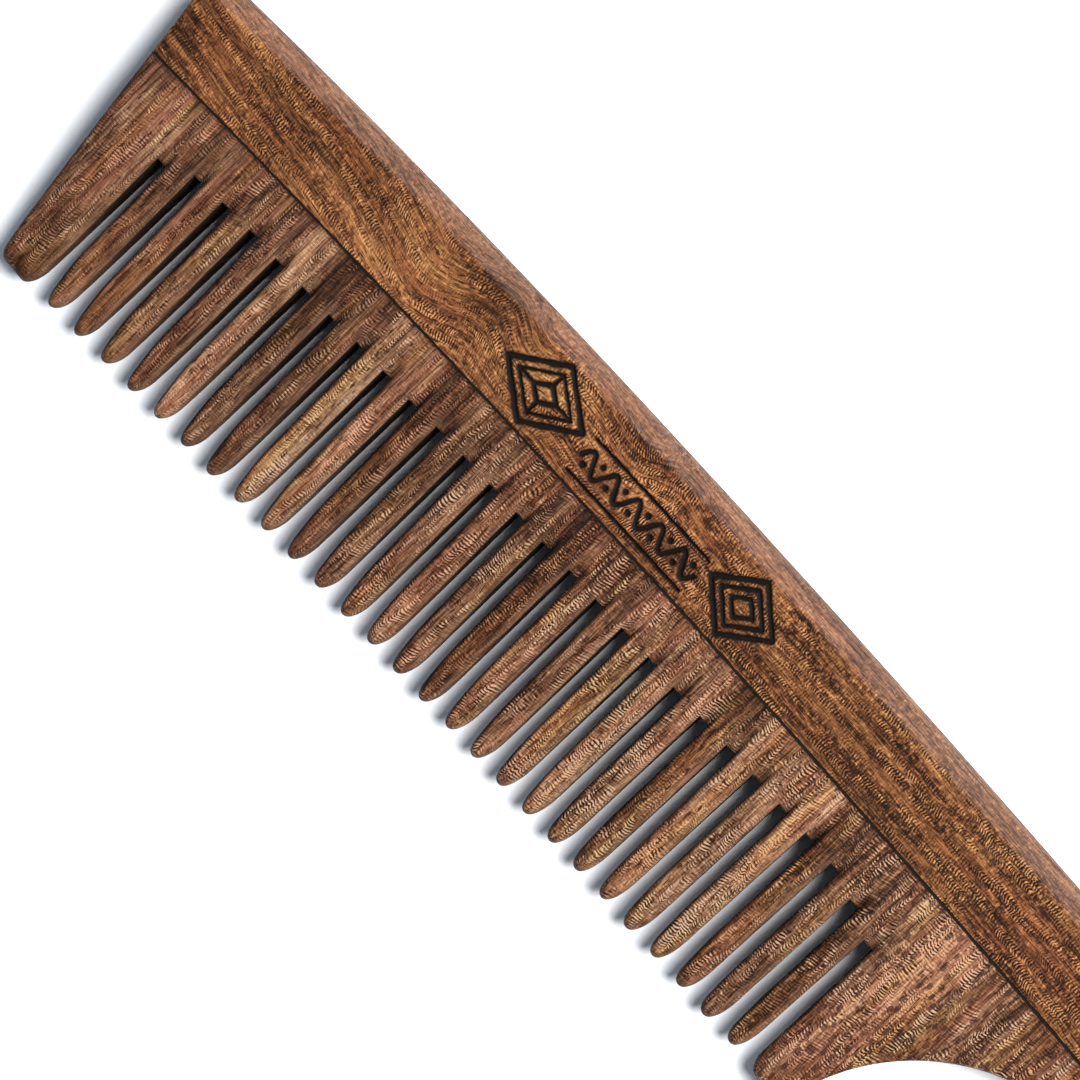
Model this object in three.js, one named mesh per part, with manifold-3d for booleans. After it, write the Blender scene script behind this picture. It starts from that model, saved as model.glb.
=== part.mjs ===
// Wide tooth comb in two glued woods: a long-grain spine rail and a cross-cut tooth board,
// keyed together by a loose spline. It lies flat, with its teeth towards -Y and +Z up.
import * as THREE from "three";
import { mergeVertices } from "three/addons/utils/BufferGeometryUtils.js";
import Module from "manifold-3d";

// Driving dimensions, in millimetres. X runs along the comb from the joint line's left end,
// and Y runs across it from the joint line, as if the comb were straight.
const THICKNESS = 7.2;
const TIP_THICKNESS = 2.6;
const GAP = 0.3;

const SLOT_COUNT = 28;
const PITCH = 4.5;
const SLOT_WIDTH = 1.4;
const FIRST_SLOT_X = 9.3;
const ROOT_Y = -6.6;
const FIRST_SLOT_ROOT_Y = -8.5;
const LAST_SLOT_ROOT_Y = -9.8;
const TIP_Y = -30.2;

// A narrow tooth keeps nearly its full width down to a rounded tip. Its left side slants in
// over a longer stretch than its right side, which turns in only at the very tip.
const SHOULDER_WIDTH = 2.9;
const TIP_LENGTH = 3.2;
const TIP_BLUNTNESS = 1.4;
const TIP_OFFSET = 0.25;
const SLANT_LENGTH = 7;
const SLANT_INSET = 0.45;
const END_TOOTH_TIP_Y = -30.6;
const END_TOOTH_CORNER = 1.6;
const END_TOOTH_DRAW_IN = 0.1;

// The back rises gently over the left part of the comb, then runs level to the handle.
const BACK_Y = 12.5;
const BACK_DROP = 0.75;
const BACK_LEVEL_X = 60;
const BACK_ROUNDING = 2.3;
const END_SLANT = THREE.MathUtils.degToRad(7);
const END_CORNER = 3;

// The finger notch between the heel and the handle is one round arc.
const NOTCH_RADIUS = 28.4;
const NOTCH_CENTRE = new THREE.Vector2(166.3, -33);
const HEEL_CORNER = 1.6;
const HANDLE_RADIUS = 10.6;
const HANDLE_CENTRE = new THREE.Vector2(187.9, BACK_Y - HANDLE_RADIUS);

// The whole comb bows by a large arc: its ends lie a little nearer to the tips' side.
const BOW_RADIUS = 2250;
const BOW_X = 62.6;

const SPLINE_START_X = 7;
const SPLINE_END_X = 148;
const SPLINE_DEPTH = 2.6;
const SPLINE_THICKNESS = 1.8;

// Long edges are divided at least this often, so that the bow bends them smoothly.
const STEP = 12;
const SHORTEST_EDGE = 0.01;
const OVERSIZE = 20;

// How far cutting shapes reach past the wood that they cut, and how finely curves are divided.
const MARGIN = 1;
const ROUNDED_EDGE_FLAT = 0.4;
const ROUNDED_EDGE_STEPS = 4;
const FINE_CURVE = 12;
const MEDIUM_CURVE = 10;
const TOOTH_CURVE = 5;
const COARSE_CURVE = 6;

const wasm = await Module();
wasm.setup();

function woodMaterial(colour, roughness) {
  return new THREE.MeshStandardMaterial({ color: colour, roughness, metalness: 0 });
}

const railWood = woodMaterial(0x8a5730, 0.55);
const boardWood = woodMaterial(0x9a6a48, 0.6);
const splineWood = woodMaterial(0xb98c5a, 0.7);

function leftEndX(y) {
  return -Math.tan(END_SLANT) * y;
}

function backY(x) {
  const rise = Math.max(0, (BACK_LEVEL_X - x) / BACK_LEVEL_X);
  return BACK_Y - BACK_DROP * rise * rise;
}

function slotX(index) {
  return FIRST_SLOT_X + PITCH * index;
}

// Adds a straight edge from the shape's last point, divided into steps for the bow.
function longEdge(shape, x, y) {
  const from = shape.currentPoint.clone();
  const count = Math.ceil(Math.abs(x - from.x) / STEP) || 1;
  for (let i = 1; i <= count; i += 1) {
    const t = i / count;
    shape.lineTo(THREE.MathUtils.lerp(from.x, x, t), THREE.MathUtils.lerp(from.y, y, t));
  }
}

// Follows the back from the right to the left.
function backEdge(shape, xStart, xEnd) {
  const count = Math.ceil((xStart - xEnd) / STEP);
  for (let i = 1; i <= count; i += 1) {
    const x = THREE.MathUtils.lerp(xStart, xEnd, i / count);
    shape.lineTo(x, backY(x));
  }
}

function rectangle(x0, y0, x1, y1) {
  const shape = new THREE.Shape();
  shape.moveTo(x0, y0);
  longEdge(shape, x1, y0);
  shape.lineTo(x1, y1);
  longEdge(shape, x0, y1);
  return shape;
}

// Bows a finished closed geometry by the comb's large arc and makes it a solid.
function bowedSolid(geometry) {
  const position = geometry.attributes.position;
  for (let i = 0; i < position.count; i += 1) {
    const bow = (position.getX(i) - BOW_X) ** 2 / (2 * BOW_RADIUS);
    position.setY(i, position.getY(i) - bow);
  }
  geometry.deleteAttribute("normal");
  geometry.deleteAttribute("uv");
  const merged = mergeVertices(geometry, 1e-4);
  const mesh = new wasm.Mesh({
    numProp: 3,
    vertProperties: new Float32Array(merged.attributes.position.array),
    triVerts: new Uint32Array(merged.index.array),
  });
  return new wasm.Manifold(mesh);
}

// The outline as straight edges, without the points that meeting arcs and lines double.
function polygon(shape, curveSegments) {
  const points = shape.getPoints(curveSegments);
  const distinct = points.filter((point, i) => point.distanceTo(points.at(i - 1)) > SHORTEST_EDGE);
  return new THREE.Shape(distinct);
}

// A plain slab of the outline, from zLow to zHigh.
function slab(shape, zLow = 0, zHigh = THICKNESS, curveSegments = COARSE_CURVE) {
  const geometry = new THREE.ExtrudeGeometry(polygon(shape, curveSegments), {
    depth: zHigh - zLow,
    bevelEnabled: false,
  });
  geometry.translate(0, 0, zLow);
  return bowedSolid(geometry);
}

// The same slab with its outer edges rounded off, for the back and the handle's end.
function roundedSlab(shape, rounding, curveSegments) {
  const bevelThickness = (THICKNESS - ROUNDED_EDGE_FLAT) / 2;
  const geometry = new THREE.ExtrudeGeometry(polygon(shape, curveSegments), {
    depth: ROUNDED_EDGE_FLAT,
    bevelEnabled: true,
    bevelThickness,
    bevelSize: rounding,
    bevelOffset: -rounding,
    bevelSegments: ROUNDED_EDGE_STEPS,
  });
  geometry.translate(0, 0, bevelThickness);
  return bowedSolid(geometry);
}

// The comb's side profile: full thickness to the tooth roots, then an even taper to the tips.
function taperedEnvelope() {
  const tipZ = (THICKNESS - TIP_THICKNESS) / 2;
  const tipY = END_TOOTH_TIP_Y - MARGIN;
  const profile = new THREE.Shape();
  profile.moveTo(OVERSIZE, 0);
  profile.lineTo(OVERSIZE, THICKNESS);
  profile.lineTo(ROOT_Y, THICKNESS);
  profile.lineTo(tipY, THICKNESS - tipZ);
  profile.lineTo(tipY, tipZ);
  profile.lineTo(ROOT_Y, 0);
  const length = HANDLE_CENTRE.x + 2 * OVERSIZE;
  const steps = Math.ceil(length / STEP);
  const geometry = new THREE.ExtrudeGeometry(profile, { depth: length, steps, bevelEnabled: false });
  const axes = new THREE.Matrix4().makeBasis(
    new THREE.Vector3(0, 1, 0),
    new THREE.Vector3(0, 0, 1),
    new THREE.Vector3(1, 0, 0),
  );
  geometry.applyMatrix4(axes);
  geometry.translate(-OVERSIZE, 0, 0);
  return bowedSolid(geometry);
}

// Outline of the back and the round handle end, left open past the left end and the tooth side.
function backAndHandleOutline() {
  const shape = new THREE.Shape();
  shape.moveTo(-OVERSIZE, TIP_Y - OVERSIZE);
  shape.lineTo(HANDLE_CENTRE.x + HANDLE_RADIUS, TIP_Y - OVERSIZE);
  shape.absarc(HANDLE_CENTRE.x, HANDLE_CENTRE.y, HANDLE_RADIUS, 0, Math.PI / 2, false);
  backEdge(shape, HANDLE_CENTRE.x, -OVERSIZE);
  return shape;
}

// The spine rail's own face: slanted left end with a rounded top corner, straight joint edge.
function railOutline() {
  const cornerY = backY(0);
  const right = HANDLE_CENTRE.x + HANDLE_RADIUS + MARGIN;
  const shape = new THREE.Shape();
  shape.moveTo(leftEndX(GAP / 2), GAP / 2);
  longEdge(shape, right, GAP / 2);
  shape.lineTo(right, BACK_Y + MARGIN);
  shape.lineTo(leftEndX(cornerY) + END_CORNER, BACK_Y + MARGIN);
  shape.lineTo(leftEndX(cornerY) + END_CORNER, cornerY);
  shape.quadraticCurveTo(leftEndX(cornerY), cornerY, leftEndX(cornerY - END_CORNER), cornerY - END_CORNER);
  return shape;
}

// The heel and the handle's half of the board: notch arc, straight flare and round end.
function heelOutline() {
  const towards = HANDLE_CENTRE.clone().sub(NOTCH_CENTRE);
  const tangent = towards.angle() + Math.acos((NOTCH_RADIUS + HANDLE_RADIUS) / towards.length());
  const notchStart = Math.PI - Math.asin((TIP_Y + HEEL_CORNER - NOTCH_CENTRE.y) / NOTCH_RADIUS);
  const left = slotX(SLOT_COUNT - 1) + SLOT_WIDTH;
  const endStop = -Math.asin((HANDLE_CENTRE.y + GAP / 2) / HANDLE_RADIUS);
  const right = HANDLE_CENTRE.x + HANDLE_RADIUS * Math.cos(endStop);
  const notchFootX = NOTCH_CENTRE.x + NOTCH_RADIUS * Math.cos(notchStart);
  const shape = new THREE.Shape();
  shape.moveTo(right, -GAP / 2);
  longEdge(shape, left, -GAP / 2);
  shape.lineTo(left, TIP_Y + 2 * HEEL_CORNER);
  shape.quadraticCurveTo(left, TIP_Y, left + HEEL_CORNER, TIP_Y);
  shape.lineTo(notchFootX - HEEL_CORNER, TIP_Y);
  shape.quadraticCurveTo(notchFootX, TIP_Y, notchFootX, TIP_Y + HEEL_CORNER);
  shape.absarc(NOTCH_CENTRE.x, NOTCH_CENTRE.y, NOTCH_RADIUS, notchStart, tangent, true);
  shape.absarc(HANDLE_CENTRE.x, HANDLE_CENTRE.y, HANDLE_RADIUS, tangent - Math.PI, endStop, false);
  return shape;
}

// The wide tooth at the left end, whose outer side follows the slanted end of the comb.
function endToothOutline(topY) {
  const right = slotX(0);
  const tipRight = right - END_TOOTH_DRAW_IN;
  const corner = END_TOOTH_CORNER;
  const tip = END_TOOTH_TIP_Y;
  const shape = new THREE.Shape();
  shape.moveTo(leftEndX(topY), topY);
  shape.lineTo(leftEndX(tip + corner), tip + corner);
  shape.quadraticCurveTo(leftEndX(tip), tip, leftEndX(tip) + corner, tip);
  shape.lineTo(right - corner, tip);
  shape.quadraticCurveTo(tipRight, tip, tipRight, tip + 2 * corner);
  shape.lineTo(right, topY);
  return shape;
}

// A narrow tooth: slightly tapered sides and a blunt, lopsided tip.
function toothOutline(leftX, topY) {
  const centre = leftX + (PITCH - SLOT_WIDTH) / 2;
  const half = (PITCH - SLOT_WIDTH) / 2;
  const left = centre - SHOULDER_WIDTH / 2;
  const right = centre + SHOULDER_WIDTH / 2;
  const tipX = centre + TIP_OFFSET;
  const shape = new THREE.Shape();
  shape.moveTo(centre + half, topY);
  shape.lineTo(centre - half, topY);
  shape.lineTo(left, TIP_Y + SLANT_LENGTH);
  shape.lineTo(left + SLANT_INSET, TIP_Y + TIP_BLUNTNESS);
  shape.quadraticCurveTo(tipX - TIP_BLUNTNESS / 2, TIP_Y, tipX, TIP_Y);
  shape.quadraticCurveTo(right, TIP_Y, right, TIP_Y + TIP_LENGTH);
  return shape;
}

// Turns a finished solid into a named mesh.
function addPiece(group, name, solid, material) {
  const { vertProperties, triVerts } = solid.getMesh();
  const geometry = new THREE.BufferGeometry();
  geometry.setAttribute("position", new THREE.BufferAttribute(vertProperties, 3));
  geometry.setIndex(new THREE.BufferAttribute(new Uint32Array(triVerts), 1));
  geometry.computeVertexNormals();
  const mesh = new THREE.Mesh(geometry, material);
  mesh.name = name;
  group.add(mesh);
}

const comb = new THREE.Group();
const envelope = taperedEnvelope();
const rounded = roundedSlab(backAndHandleOutline(), BACK_ROUNDING, MEDIUM_CURVE);

// The spline's blind groove is cut half into the rail and half into the board.
const grooveY = SPLINE_DEPTH + GAP / 2;
const grooveLow = (THICKNESS - SPLINE_THICKNESS) / 2 - GAP;
const grooveOutline = rectangle(SPLINE_START_X - GAP, -grooveY - GAP, SPLINE_END_X + GAP, grooveY + GAP);
const groove = slab(grooveOutline, grooveLow, THICKNESS - grooveLow);

const rail = rounded.intersect(slab(railOutline())).subtract(groove);
addPiece(comb, "spine_rail", rail, railWood);

const splineOutline = rectangle(SPLINE_START_X, -grooveY, SPLINE_END_X, grooveY);
const spline = slab(splineOutline, grooveLow + GAP, THICKNESS - grooveLow - GAP);
addPiece(comb, "joint_spline", spline, splineWood);

// The root strip above the slots, in three lengths, because the outer slots are cut shorter.
const leftStripEnd = slotX(1);
const rightStripStart = slotX(SLOT_COUNT - 2) + SLOT_WIDTH;
const heelX = slotX(SLOT_COUNT - 1) + SLOT_WIDTH;

const leftStripOutline = new THREE.Shape();
leftStripOutline.moveTo(leftEndX(FIRST_SLOT_ROOT_Y), FIRST_SLOT_ROOT_Y);
longEdge(leftStripOutline, leftStripEnd - GAP, FIRST_SLOT_ROOT_Y);
leftStripOutline.lineTo(leftStripEnd - GAP, -GAP / 2);
longEdge(leftStripOutline, leftEndX(-GAP / 2), -GAP / 2);

const strips = {
  root_strip_left: leftStripOutline,
  root_strip_middle: rectangle(leftStripEnd, ROOT_Y, rightStripStart - GAP, -GAP / 2),
  root_strip_right: rectangle(rightStripStart, LAST_SLOT_ROOT_Y, heelX - GAP, -GAP / 2),
};
for (const [name, outline] of Object.entries(strips)) {
  addPiece(comb, name, slab(outline).intersect(envelope).subtract(groove), boardWood);
}

// The wide end tooth, then the narrow ones between the slots.
const endTooth = slab(endToothOutline(FIRST_SLOT_ROOT_Y - GAP)).intersect(envelope);
addPiece(comb, "tooth_01_end", endTooth, boardWood);
for (let index = 1; index < SLOT_COUNT; index += 1) {
  let topY = ROOT_Y - GAP;
  if (index === 1) topY = FIRST_SLOT_ROOT_Y - GAP;
  if (index === SLOT_COUNT - 1) topY = LAST_SLOT_ROOT_Y - GAP;
  const tooth = slab(toothOutline(slotX(index - 1) + SLOT_WIDTH, topY), 0, THICKNESS, TOOTH_CURVE);
  const name = `tooth_${String(index + 1).padStart(2, "0")}`;
  addPiece(comb, name, tooth.intersect(envelope), boardWood);
}

const heelSlab = slab(heelOutline(), 0, THICKNESS, FINE_CURVE);
const heel = heelSlab.intersect(envelope).intersect(rounded).subtract(groove);
addPiece(comb, "heel_board", heel, boardWood);

// The origin is the middle of the underside's bounding box.
const box = new THREE.Box3().setFromObject(comb);
comb.position.set(-(box.min.x + box.max.x) / 2, -(box.min.y + box.max.y) / 2, -box.min.z);

export default comb;
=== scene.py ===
import math

import bmesh
import bpy
import numpy as np
from mathutils import Matrix, Vector


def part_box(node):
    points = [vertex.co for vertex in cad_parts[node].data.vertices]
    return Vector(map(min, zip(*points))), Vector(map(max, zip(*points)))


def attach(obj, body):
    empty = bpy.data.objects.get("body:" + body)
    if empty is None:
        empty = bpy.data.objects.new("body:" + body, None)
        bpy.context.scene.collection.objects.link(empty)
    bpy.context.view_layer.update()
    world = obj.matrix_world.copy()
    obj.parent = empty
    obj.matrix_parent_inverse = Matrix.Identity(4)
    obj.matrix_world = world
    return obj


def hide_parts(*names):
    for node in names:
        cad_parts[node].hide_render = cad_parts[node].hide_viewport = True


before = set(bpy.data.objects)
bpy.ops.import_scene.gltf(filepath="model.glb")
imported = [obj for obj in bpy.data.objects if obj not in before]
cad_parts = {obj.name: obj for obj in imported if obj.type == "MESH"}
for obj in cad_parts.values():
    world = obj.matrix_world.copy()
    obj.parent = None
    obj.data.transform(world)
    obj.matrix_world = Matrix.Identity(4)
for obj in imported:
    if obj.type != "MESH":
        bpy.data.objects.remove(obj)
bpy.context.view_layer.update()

# ===== Driving dimensions, in millimetres, in the straight comb: X from the joint
# line's left end, Y from the joint line, Z up from the face it rests on.
MM = 0.001
THICKNESS = 7.2
HALF = THICKNESS / 2
TIP_HALF = 1.3

SLOT_COUNT = 28
PITCH = 4.5
SLOT_WIDTH = 1.4
FIRST_SLOT_X = 9.3
ROOT_Y = -6.6
FIRST_ROOT_Y = -8.5
SECOND_ROOT_Y = -6.8
NEXT_TO_LAST_ROOT_Y = -7.8
LAST_ROOT_Y = -9.8
TIP_Y = -30.2
END_TOOTH_TIP_Y = -30.6
SHOULDER_HALF = 1.45
TOOTH_HALF = (PITCH - SLOT_WIDTH) / 2
TIP_LENGTH = 3.0
TIP_SLANT = 7.5

BACK_Y = 12.5
BACK_DROP = 0.75
BACK_LEVEL_X = 60.0
BACK_ROUNDING = 2.3
END_ANGLE = math.radians(7)
END_SLOPE = math.tan(END_ANGLE)
END_CORNER = 3.0

NOTCH_RADIUS = 28.4
NOTCH_X, NOTCH_Y = 166.3, -33.0
HEEL_SPLIT_X, HEEL_SPLIT_Y = 147.0, -12.2
HEEL_X = FIRST_SLOT_X + PITCH * (SLOT_COUNT - 1) + SLOT_WIDTH
HANDLE_RADIUS = 10.6
HANDLE_X, HANDLE_Y = 187.9, BACK_Y - HANDLE_RADIUS

BOW_RADIUS = 2250.0
BOW_X = 62.6

# The spline's blind groove in both glued faces.
GROOVE_START, GROOVE_END = 6.7, 148.3
GROOVE_DEPTH = 3.05
GROOVE_HALF = 1.2
GROOVE_STEP = 0.004

# Corners at the tips of the end tooth and the heel: how far in, and how long.
END_TOOTH_LEFT, END_TOOTH_RIGHT = (1.5, 2.0), (1.5, 3.1)
HEEL_LEFT, HEEL_RIGHT = (1.6, 2.6), (1.4, 1.6)

# How far the teeth lean by their tips, and how unevenly each side is sanded.
LEAN_RIGHT, LEAN_LEFT = 0.42, 0.3
SANDED_LEFT, SANDED_RIGHT = 0.08, 0.10

# Edges: how wide each is rounded over, and how far the face drops there.
LEFT_ROUNDING, RIGHT_ROUNDING, TOOTH_EDGE_DROP = 0.5, 0.85, 0.55
NOTCH_ROUNDING, NOTCH_DROP = 0.8, 0.7
END_ROUNDING, END_DROP = 0.6, 0.55
TIP_ROUNDING = 1.5
CREASE = 0.24
RUNOUT_LENGTH = 3.3

# Half of the flat that a fully rounded edge keeps, and half of the least thickness anywhere.
EDGE_FLAT = 0.2
THINNEST_HALF = 0.12

# Points this near a slot are on its wall; points far from an edge say NO_EDGE.
WALL_BAND = 0.02
NO_EDGE = 50.0

SEED = 7

# The straight comb's datum, from where the frame holds the rail.
_, rail_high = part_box("spine_rail")
SHIFT_X = rail_high[0] / MM - (HANDLE_X + HANDLE_RADIUS)
SHIFT_Y = rail_high[1] / MM - BACK_Y


def smoothstep(low, high, value):
    t = np.clip((value - low) / (high - low), 0.0, 1.0)
    return t * t * (3 - 2 * t)


def lerp(a, b, t):
    return a + (b - a) * t


def wobble(x, seed, scale):
    """A smooth random wave along x, about -1 to 1, from a few sines with seeded phases."""
    rng = np.random.default_rng(SEED + seed)
    total = np.zeros_like(x, dtype=float)
    for octave in range(4):
        total += np.sin(x / scale * 1.9**octave + rng.uniform(0, 2 * math.pi)) / 1.5**octave
    return total / 2.4


def left_end_x(y):
    return -END_SLOPE * y


def back_y(x):
    rise = np.clip((BACK_LEVEL_X - x) / BACK_LEVEL_X, 0.0, None)
    return BACK_Y - BACK_DROP * rise * rise


def half_thickness(y):
    """Half the thickness: full at the spine, then an even taper that starts softly at the roots."""
    slope = (HALF - TIP_HALF) / (ROOT_Y - END_TOOTH_TIP_Y + 1)
    soft = 0.8
    return HALF - slope * soft * np.logaddexp(0.0, (ROOT_Y - y) / soft)


def joint_half_gap(x, side):
    """The glue line's half width: thin at the left, thicker towards the handle, never quite even."""
    width = lerp(0.14, 0.2, np.clip(x / 150.0, 0, 1))
    return np.clip(width + 0.035 * wobble(x, 3 + side, 1.7) + 0.03 * wobble(x, 9 + side, 0.5), 0.07, 0.27)


def rounding(distance, radius):
    """0 on the flat, rising to 1 at the very edge, as a quarter circle does."""
    t = np.clip(1.0 - distance / radius, 0.0, 1.0)
    return 1.0 - np.sqrt(np.clip(1.0 - t * t, 0.0, 1.0))


def creased_rounding(distance, radius):
    """A rounding that leaves the flat at a slight angle, as a hand-sanded back does."""
    t = np.clip(1.0 - distance / radius, 0.0, 1.0)
    return CREASE * t + (1 - CREASE) * rounding(distance, radius)


def in_row_frame(x, y, z):
    """Millimetres in the straight comb to metres in the row frame, with the comb's bow."""
    bow = (x - BOW_X) ** 2 / (2 * BOW_RADIUS)
    return np.stack([(x + SHIFT_X) * MM, (y - bow + SHIFT_Y) * MM, z * MM], axis=-1)


# ===== Meshes: each board is one grid of columns and rows, closed into a shell.
SHARP_ANGLE = math.radians(40)
SAME_POINT = 3e-6
EMPTY_EDGE = 1e-7


def tidy_mesh(mesh):
    """Joins points that coincide, drops empty faces and turns all faces outwards."""
    work = bmesh.new()
    work.from_mesh(mesh)
    bmesh.ops.remove_doubles(work, verts=work.verts, dist=SAME_POINT)
    bmesh.ops.dissolve_degenerate(work, edges=work.edges, dist=EMPTY_EDGE)
    bmesh.ops.recalc_face_normals(work, faces=work.faces)
    if work.calc_volume(signed=True) < 0:
        bmesh.ops.reverse_faces(work, faces=work.faces)
    work.to_mesh(mesh)
    work.free()


def make_mesh_object(name, points, faces, attributes):
    """A mesh object from straight-comb points, faces and named vertex attributes."""
    mesh = bpy.data.meshes.new(name)
    placed = in_row_frame(points[:, 0], points[:, 1], points[:, 2])
    mesh.from_pydata(placed.tolist(), [], faces)
    for label, values in attributes.items():
        kind, field = ("FLOAT_VECTOR", "vector") if values.ndim == 2 else ("FLOAT", "value")
        layer = mesh.attributes.new(label, kind, "POINT")
        layer.data.foreach_set(field, np.ascontiguousarray(values, dtype=np.float32).ravel())
    tidy_mesh(mesh)
    mesh.shade_smooth()
    mesh.set_sharp_from_angle(angle=SHARP_ANGLE)
    piece = bpy.data.objects.new(name, mesh)
    bpy.context.scene.collection.objects.link(piece)
    return piece


def side_quads(index, offset, cells):
    """Walls from the upper to the lower grid wherever a cell has no neighbour, except along row 0."""
    padded = np.pad(cells, 1)
    rows, columns = cells.shape
    sides = (
        (1, 0, (1, 1), (1, 0)),
        (0, -1, (1, 0), (0, 0)),
        (0, 1, (0, 1), (1, 1)),
    )
    quads = []
    for dj, di, first, second in sides:
        neighbour = padded[1 + dj : 1 + dj + rows, 1 + di : 1 + di + columns]
        j, i = np.nonzero(cells & ~neighbour)
        a = index[j + first[0], i + first[1]]
        b = index[j + second[0], i + second[1]]
        quads.append(np.stack([a, b, b + offset, a + offset], axis=1))
    return quads


def joint_face(x, y, groove_side):
    """The glued face: rows of points down it, let in where the spline's blind groove runs."""
    inside = (x > GROOVE_START) & (x < GROOVE_END)
    floor = np.where(inside, groove_side * GROOVE_DEPTH, y)
    low, high = HALF - GROOVE_HALF, HALF + GROOVE_HALF
    profile = [(y, high), (floor, high), (floor, low), (y, low)]
    return np.concatenate([np.stack([x, across, np.full_like(x, z)], axis=-1) for across, z in profile])


def share_joint_points(quads, corners, offset, columns):
    """The end walls beside the joint as six-sided faces, so that they share the joint face's points."""
    walls = []
    for corner, first_middle in corners:
        spans = (quads == corner).any(axis=1) & (quads == corner + offset).any(axis=1)
        ring = quads[spans][0].tolist()
        quads = quads[~spans]
        between = [first_middle, first_middle + 3 * columns]
        at = ring.index(corner)
        if ring[(at + 1) % 4] == corner + offset:
            ring[at + 1 : at + 1] = between
        else:
            ring[at:at] = between[::-1]
        walls.append(ring)
    return quads, walls


def closed_shell(top, bottom, cells, groove_side):
    """All points and faces of a board whose upper and lower faces are the same grid."""
    rows, columns = top.shape[:2]
    index = np.arange(rows * columns).reshape(rows, columns)
    offset = rows * columns
    j, i = np.nonzero(cells)
    upper = np.stack([index[j, i], index[j + 1, i], index[j + 1, i + 1], index[j, i + 1]], axis=1)
    quads = [upper, upper[:, ::-1] + offset] + side_quads(index, offset, cells)

    middle = joint_face(top[0, :, 0], top[0, :, 1], groove_side)
    strips = [2 * offset + k * columns + np.arange(columns) for k in range(4)]
    strips = [index[0], *strips, index[0] + offset]
    for above, below in zip(strips, strips[1:]):
        quads.append(np.stack([above[:-1], above[1:], below[1:], below[:-1]], axis=1))

    corners = ((0, 2 * offset), (columns - 1, 2 * offset + columns - 1))
    quads, walls = share_joint_points(np.concatenate(quads), corners, offset, columns)
    points = np.concatenate([top.reshape(-1, 3), bottom.reshape(-1, 3), middle])
    used = np.unique(np.concatenate([quads.ravel(), *walls]))
    renumbered = np.zeros(len(points), dtype=int)
    renumbered[used] = np.arange(len(used))
    faces = renumbered[quads].tolist() + [renumbered[wall].tolist() for wall in walls]
    return points[used], faces, used


def on_points(grid, used):
    """A value given on the grid, carried to the shell's upper, lower and joint points."""
    middle = np.tile(grid[0], 4)
    return np.concatenate([grid.ravel(), grid.ravel(), middle])[used]


# ===== The tooth board
TOOTH_STATIONS = np.array([-1, -0.965, -0.9, -0.8, -0.66, -0.35, 0, 0.35, 0.66, 0.8, 0.9, 0.965, 1])
SLOT_STATIONS = (-0.6, 0.0, 0.6)
EDGE_INSETS = np.array([0.0, 0.05, 0.16, 0.32, 0.55, 1.0])
ROOT_ROWS = 22
TOOTH_ROWS = 62
TONE_LEVELS = {"d": 0.0, "m": 0.36, "w": 0.58, "p": 1.0}
TOOTH_TONES = "mmmmmpdmpp" + "dmwwwdwwpp" + "wmpppmmm"


def tangent_point():
    """Where the notch arc meets the handle's round end."""
    dx, dy = HANDLE_X - NOTCH_X, HANDLE_Y - NOTCH_Y
    angle = math.atan2(dy, dx) + math.acos((NOTCH_RADIUS + HANDLE_RADIUS) / math.hypot(dx, dy))
    first = (NOTCH_X + NOTCH_RADIUS * math.cos(angle), NOTCH_Y + NOTCH_RADIUS * math.sin(angle))
    second = (HANDLE_X - HANDLE_RADIUS * math.cos(angle), HANDLE_Y - HANDLE_RADIUS * math.sin(angle))
    return first, second


FLARE_START, FLARE_END = tangent_point()
BOARD_END_X = HANDLE_X + math.sqrt(HANDLE_RADIUS**2 - (HANDLE_Y + 0.15) ** 2)


def handle_edge_y(x):
    """The handle's edge on the teeth side: notch arc, straight flare, round end."""
    notch = NOTCH_Y + np.sqrt(np.clip(NOTCH_RADIUS**2 - (x - NOTCH_X) ** 2, 0, None))
    round_end = HANDLE_Y - np.sqrt(np.clip(HANDLE_RADIUS**2 - (x - HANDLE_X) ** 2, 0, None))
    (x0, y0), (x1, y1) = FLARE_START, FLARE_END
    flare = y0 + (x - x0) * (y1 - y0) / (x1 - x0)
    return np.where(x < x0, notch, np.where(x < x1, flare, round_end))


def handle_edge_distance(x, y):
    """How far a point of the heel or handle lies inside the notch, flare or round end."""
    notch = np.hypot(x - NOTCH_X, y - NOTCH_Y) - NOTCH_RADIUS
    round_end = HANDLE_RADIUS - np.hypot(x - HANDLE_X, y - HANDLE_Y)
    (x0, y0), (x1, y1) = FLARE_START, FLARE_END
    length = math.hypot(x1 - x0, y1 - y0)
    along = ((x - x0) * (x1 - x0) + (y - y0) * (y1 - y0)) / length
    flare = ((x1 - x0) * (y - y0) - (y1 - y0) * (x - x0)) / length
    return np.clip(np.where(along < 0, notch, np.where(along < length, flare, round_end)), 0, None)


def seep(points):
    """Glue that soaked into the wood right beside the joint."""
    away = np.abs(points[:, 1])
    reach = 0.3 + 0.1 * wobble(points[:, 0], 81, 0.8)
    return 0.9 * (1 - smoothstep(0.1, reach, away))


def groove_end(x):
    """The two columns that the blind groove's end wall stands between."""
    return [x - GROOVE_STEP, x + GROOVE_STEP]


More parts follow.
